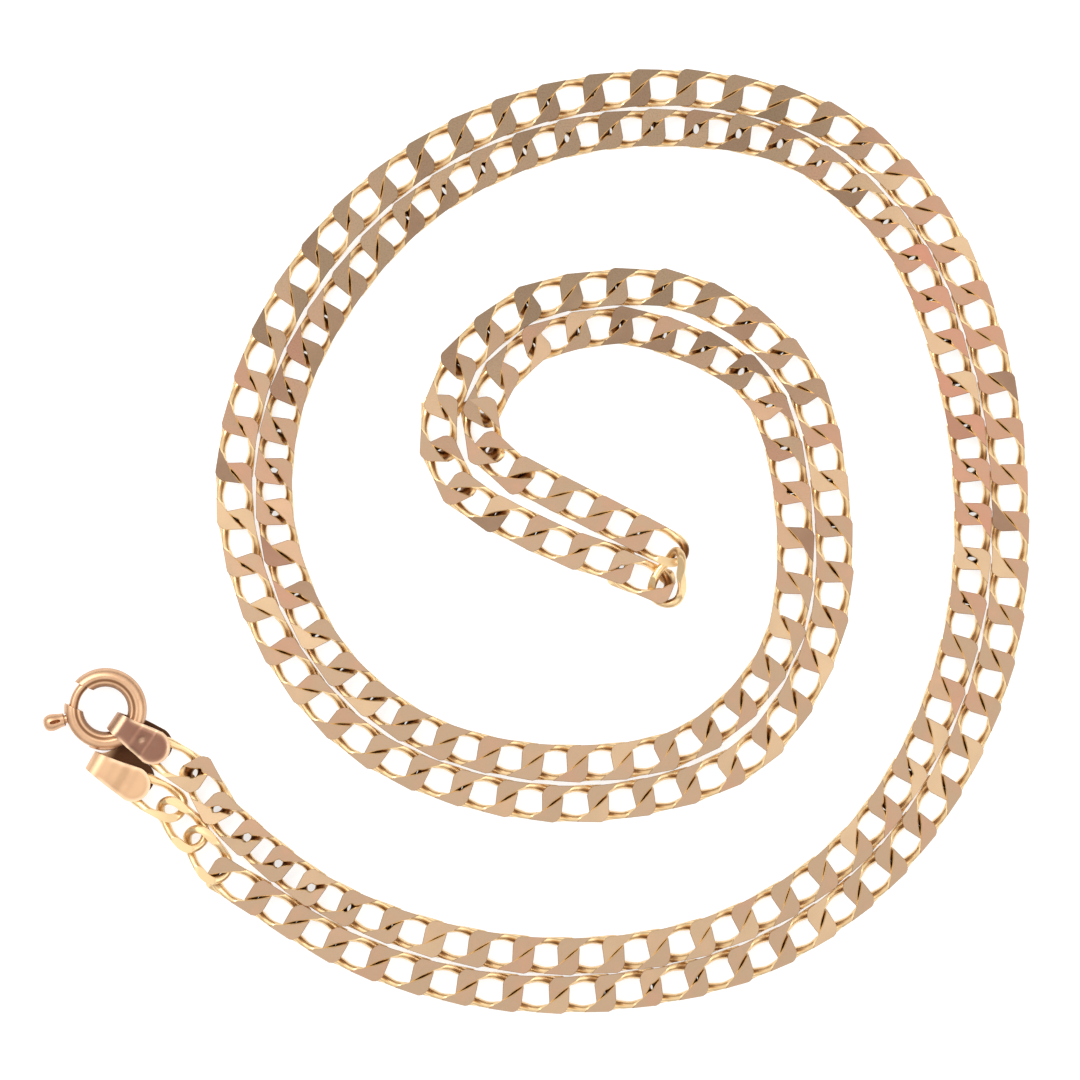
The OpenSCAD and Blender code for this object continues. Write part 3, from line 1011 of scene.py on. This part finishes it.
TAB_COLUMNS = 20
ROUND_END = (88, 82, 75, 67, 58, 49, 39, 29, 19, 9)  # degrees of the stations round the end
RING_TAB_SHAPE = SimpleNamespace(
    angle=math.radians(-34),  # the way it lies
    rim_drop=0.10,  # how far its rim is pressed down
    slip=(0.25, 0.175),  # how far its lower strip stands out, behind the fold and at the end
    ease=0.14,  # how softly its upper strip bends
    weld=1.0)  # how clearly the weld mark shows
END_TAB_SHAPE = SimpleNamespace(
    angle=math.radians(-30), rim_drop=0.04, slip=(1.15, 0.45), ease=0.40, weld=0.0)


def smooth(low, high, value):
    t = np.clip((value - low) / (high - low), 0, 1)
    return t * t * (3 - 2 * t)


def tab_lines(s, ease):
    """Stations x, z along a tab, from its lower end to the fold's top and on its upper strip."""
    end = s.wide / 2
    at = s.length - end
    level = [at + end * math.sin(math.radians(a)) for a in ROUND_END]
    level += list(np.linspace(at, s.fold / 2, 26))
    turn, radius = s.fold / 2, (s.fold - s.strip) / 2
    lower = [(x, s.strip / 2) for x in level]
    lower += [(turn - radius * math.cos(a), turn + radius * math.sin(a))
              for a in np.radians(np.linspace(-80, 80, 17))]
    upper = []
    for x in reversed(level):
        near = np.linspace(x - ease, x + ease, 15)
        bent = np.clip((near - s.bend_at) / (s.mouth_at - s.bend_at), 0, 1).mean()
        upper.append((x, s.fold - bent * (s.fold - s.mouth) - s.strip / 2))
    return lower, upper


def half_width(s, x):
    """Half the width of a tab at a distance from its fold."""
    at = s.length - s.wide / 2
    if x <= at:
        return s.neck / 2 + (s.wide - s.neck) / 2 * max(x, 0) / at
    return math.sqrt((s.wide / 2) ** 2 - (x - at) ** 2)


def tab_strip(s, name, tab):
    """The folded strip with its pressed rim and its skewed lower layer, whose inner face gets
    painted shade.
    """
    lower, upper = tab_lines(s, tab.ease)
    at, end = s.length - s.wide / 2, s.wide / 2
    points, rims, dark = [], [], []
    for i, (x, z) in enumerate(lower + upper):
        w = half_width(s, x)
        top, bottom = i >= len(lower), z < s.fold / 2
        for k in range(TAB_COLUMNS + 1):
            y = w * math.sin(math.pi / 2 * (-1 + 2 * k / TAB_COLUMNS))
            edge = w - abs(y) if x < at else end - math.hypot(x - at, y)
            pressed = (1 - smooth(0.10, 0.34, edge)) * smooth(0.7, 1.5, x) if top else 0.0
            mark = 1 - smooth(0.14, 0.27, math.hypot(x - s.weld_at, y)) if top else 0.0
            mark *= tab.weld
            near, far = tab.slip
            slip = smooth(0.4, 1.6, x) * (near + (far - near) * smooth(2.0, 3.6, x))
            points.append((x, y + (slip if bottom else 0.0),
                           z - tab.rim_drop * pressed - 0.02 * mark))
            rims.append(max(pressed * 0.85, mark * 0.5, 0.0 if top else 0.4))
            # Painted shade on the lower strip, fading in from the fold
            dark.append(smooth(0.5, 1.4, x) if bottom else 0.0)
    across = TAB_COLUMNS + 1
    faces = [(i * across + k, (i + 1) * across + k, (i + 1) * across + k + 1, i * across + k + 1)
             for i in range(len(lower + upper) - 1) for k in range(TAB_COLUMNS)]
    mesh = mesh_from(name, points, faces)
    for label, values in (("rim", rims), ("crease_shade", dark)):
        mesh.attributes.new(label, "FLOAT", "POINT").data.foreach_set("value", values)
    obj = link_object(name, mesh)
    thick = obj.modifiers.new("Strip", "SOLIDIFY")
    thick.thickness = s.strip
    thick.offset = 0.0
    apply_modifiers(obj)
    outward(obj)
    soften(obj, 0.045, 3, 50.0)
    # The painted shade stays only on the lower strip's inner face, which lies under the upper strip
    for vertex, value in zip(obj.data.vertices, obj.data.attributes["crease_shade"].data):
        if vertex.co.z < s.strip / 2:
            value.value = 0.0
    return obj


def make_tab(s, tab, name, node, finish):
    """A folded strip with its weld and its hidden pin, set over its CAD solid."""
    parts = [tab_strip(s, name, tab)]
    for part, x, radius, height, dome, steps in (
            ("weld", s.weld_at, 0.26, 1.30, 1.36, 24), ("pin", s.pin_at, 0.21, 1.05, 1.05, 20)):
        peg = turned(part, [(0, 0.1), (radius, 0.1), (radius, height), (0, dome)], steps)
        peg.data.transform(Matrix.Translation((x, 0, 0)))
        outward(peg)
        parts.append(peg)
    turn = Matrix.Rotation(tab.angle, 4, "Z")
    rim = [turn @ Vector((x, side * half_width(s, x), 0))
           for x in np.linspace(0, s.length - 0.001, 400) for side in (-1, 1)]
    low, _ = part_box(node)
    shift = Vector((low[0] - min(p.x for p in rim) * MM, low[1] - min(p.y for p in rim) * MM, 0))
    for part in parts:
        part.data.transform(Matrix.Translation(shift) @ turn @ Matrix.Scale(MM, 4))
    obj = join_parts(name, parts, finish)
    finish_mesh(obj, LINK_EDGE)
    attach(obj, "necklace")
    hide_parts(node)


class MakeTabs(bpy.types.Operator):
    """Makes the folded strip on the ring and the free one at the other end"""

    bl_idname = "necklace.tabs"
    bl_label = "End tabs"

    def execute(self, context):
        s, gold = sizes_of(context.scene.necklace_tab), context.scene.necklace_gold
        # Both tabs are one gold, painted darker on the ring tab as painted shade and paler on the
        # end tab as a painted highlight
        dark = polished_gold("ring_tab_gold", gold.ring_tab, (0.24, 0.105, 0.07), 0.3)
        light = polished_gold("end_tab_gold", gold.end_tab, (0.62, 0.38, 0.24), 0.15, 0.38)
        make_tab(s, RING_TAB_SHAPE, "ring_tab_strip", "ring_tab", dark)
        make_tab(s, END_TAB_SHAPE, "end_tab_strip", "end_tab", light)
        return {"FINISHED"}


# The stage

PHOTO_SIDE, PHOTO_SCALE = 1080, 14.5  # the photo's side in pixels, and pixels to a millimetre
EYE_OVER = (0.00031, 0.00009)  # the point under the camera, in metres
CHAIN_TOP = 1.1 * MM  # the height that is seen at the photo's scale
SKY = ((0.0, 0.30), (0.25, 0.42), (0.55, 1.25), (0.85, 1.35), (0.975, 0.92), (1.0, 0.80))
LAMPS = (("key", (-0.18, 0.16, 0.30), 0.22, 0.55), ("fill", (0.25, -0.05, 0.22), 0.20, 0.15))


class SetStage(bpy.types.Operator):
    """Sets the pale floor, the soft light and the camera straight above"""

    bl_idname = "necklace.stage"
    bl_label = "Stage"

    def execute(self, context):
        self.set_floor()
        self.set_light(context.scene)
        self.set_camera(context.scene)
        return {"FINISHED"}

    def set_floor(self):
        floor = link_object("floor", mesh_from(
            "floor", [(-4, -4, 0), (4, -4, 0), (4, 4, 0), (-4, 4, 0)], [(0, 1, 2, 3)]))
        f = Finish("white_board", Roughness=0.7, Emission_Strength=0.70)
        f.set(Base_Color=f.mix(f.noise(60.0) * 0.5, (0.45, 0.45, 0.45), (0.42, 0.42, 0.42)),
              Emission_Color=(1.0, 1.0, 1.0))
        floor.data.materials.append(f.material)

    def set_light(self, scene):
        """A sky from dim at the horizon to bright above, and two soft lamps."""
        world = bpy.data.worlds.new("Studio")
        scene.world = world
        world.use_nodes = True
        nodes, links = world.node_tree.nodes, world.node_tree.links
        place = nodes.new("ShaderNodeTexCoord")
        split = nodes.new("ShaderNodeSeparateXYZ")
        ramp = nodes.new("ShaderNodeValToRGB")
        while len(ramp.color_ramp.elements) < len(SKY):
            ramp.color_ramp.elements.new(0.5)
        for element, (at, value) in zip(ramp.color_ramp.elements, SKY):
            element.position = at
            element.color = (value, value * 0.99, value * 0.97, 1)
        links.new(place.outputs["Generated"], split.inputs[0])
        links.new(split.outputs["Z"], ramp.inputs[0])
        links.new(ramp.outputs[0], nodes["Background"].inputs["Color"])
        for name, at, size, power in LAMPS:
            light = bpy.data.lights.new(name, "AREA")
            light.size, light.energy = size, power
            lamp = link_object(name, light)
            lamp.location = at
            lamp.rotation_euler = (-Vector(at)).to_track_quat("-Z", "Y").to_euler()

    def set_camera(self, scene):
        camera = bpy.data.cameras.new("camera")
        camera.lens, camera.sensor_width = 180.0, 36.0
        camera.clip_start, camera.clip_end = 0.01, 20.0
        eye = link_object("camera", camera)
        across = PHOTO_SIDE / PHOTO_SCALE * MM
        eye.location = (*EYE_OVER, CHAIN_TOP + across * camera.lens / camera.sensor_width)
        scene.camera = eye
        scene.view_settings.view_transform = "Standard"


class NecklacePanel(bpy.types.Panel):
    """Lists the necklace's pieces"""

    bl_idname = "VIEW3D_PT_necklace"
    bl_label = "Necklace"
    bl_space_type = "VIEW_3D"
    bl_region_type = "UI"
    bl_category = "Necklace"

    def draw(self, context):
        for operator in (MakeChain, MakeClasp, MakeTabs, SetStage):
            self.layout.operator(operator.bl_idname)


SETTINGS = {"necklace_chain": ChainSettings, "necklace_clasp": ClaspSettings,
            "necklace_tab": TabSettings, "necklace_gold": GoldSettings}
CLASSES = (*SETTINGS.values(), MakeChain, MakeClasp, MakeTabs, SetStage, NecklacePanel)


def register():
    for cls in CLASSES:
        bpy.utils.register_class(cls)
    for name, group in SETTINGS.items():
        setattr(bpy.types.Scene, name, bpy.props.PointerProperty(type=group))


def unregister():
    for name in SETTINGS:
        delattr(bpy.types.Scene, name)
    for cls in reversed(CLASSES):
        bpy.utils.unregister_class(cls)


def main():
    register()
    bpy.ops.necklace.chain()
    bpy.ops.necklace.clasp()
    bpy.ops.necklace.tabs()
    bpy.ops.necklace.stage()
    bpy.context.view_layer.update()


if __name__ == "__main__":
    main()
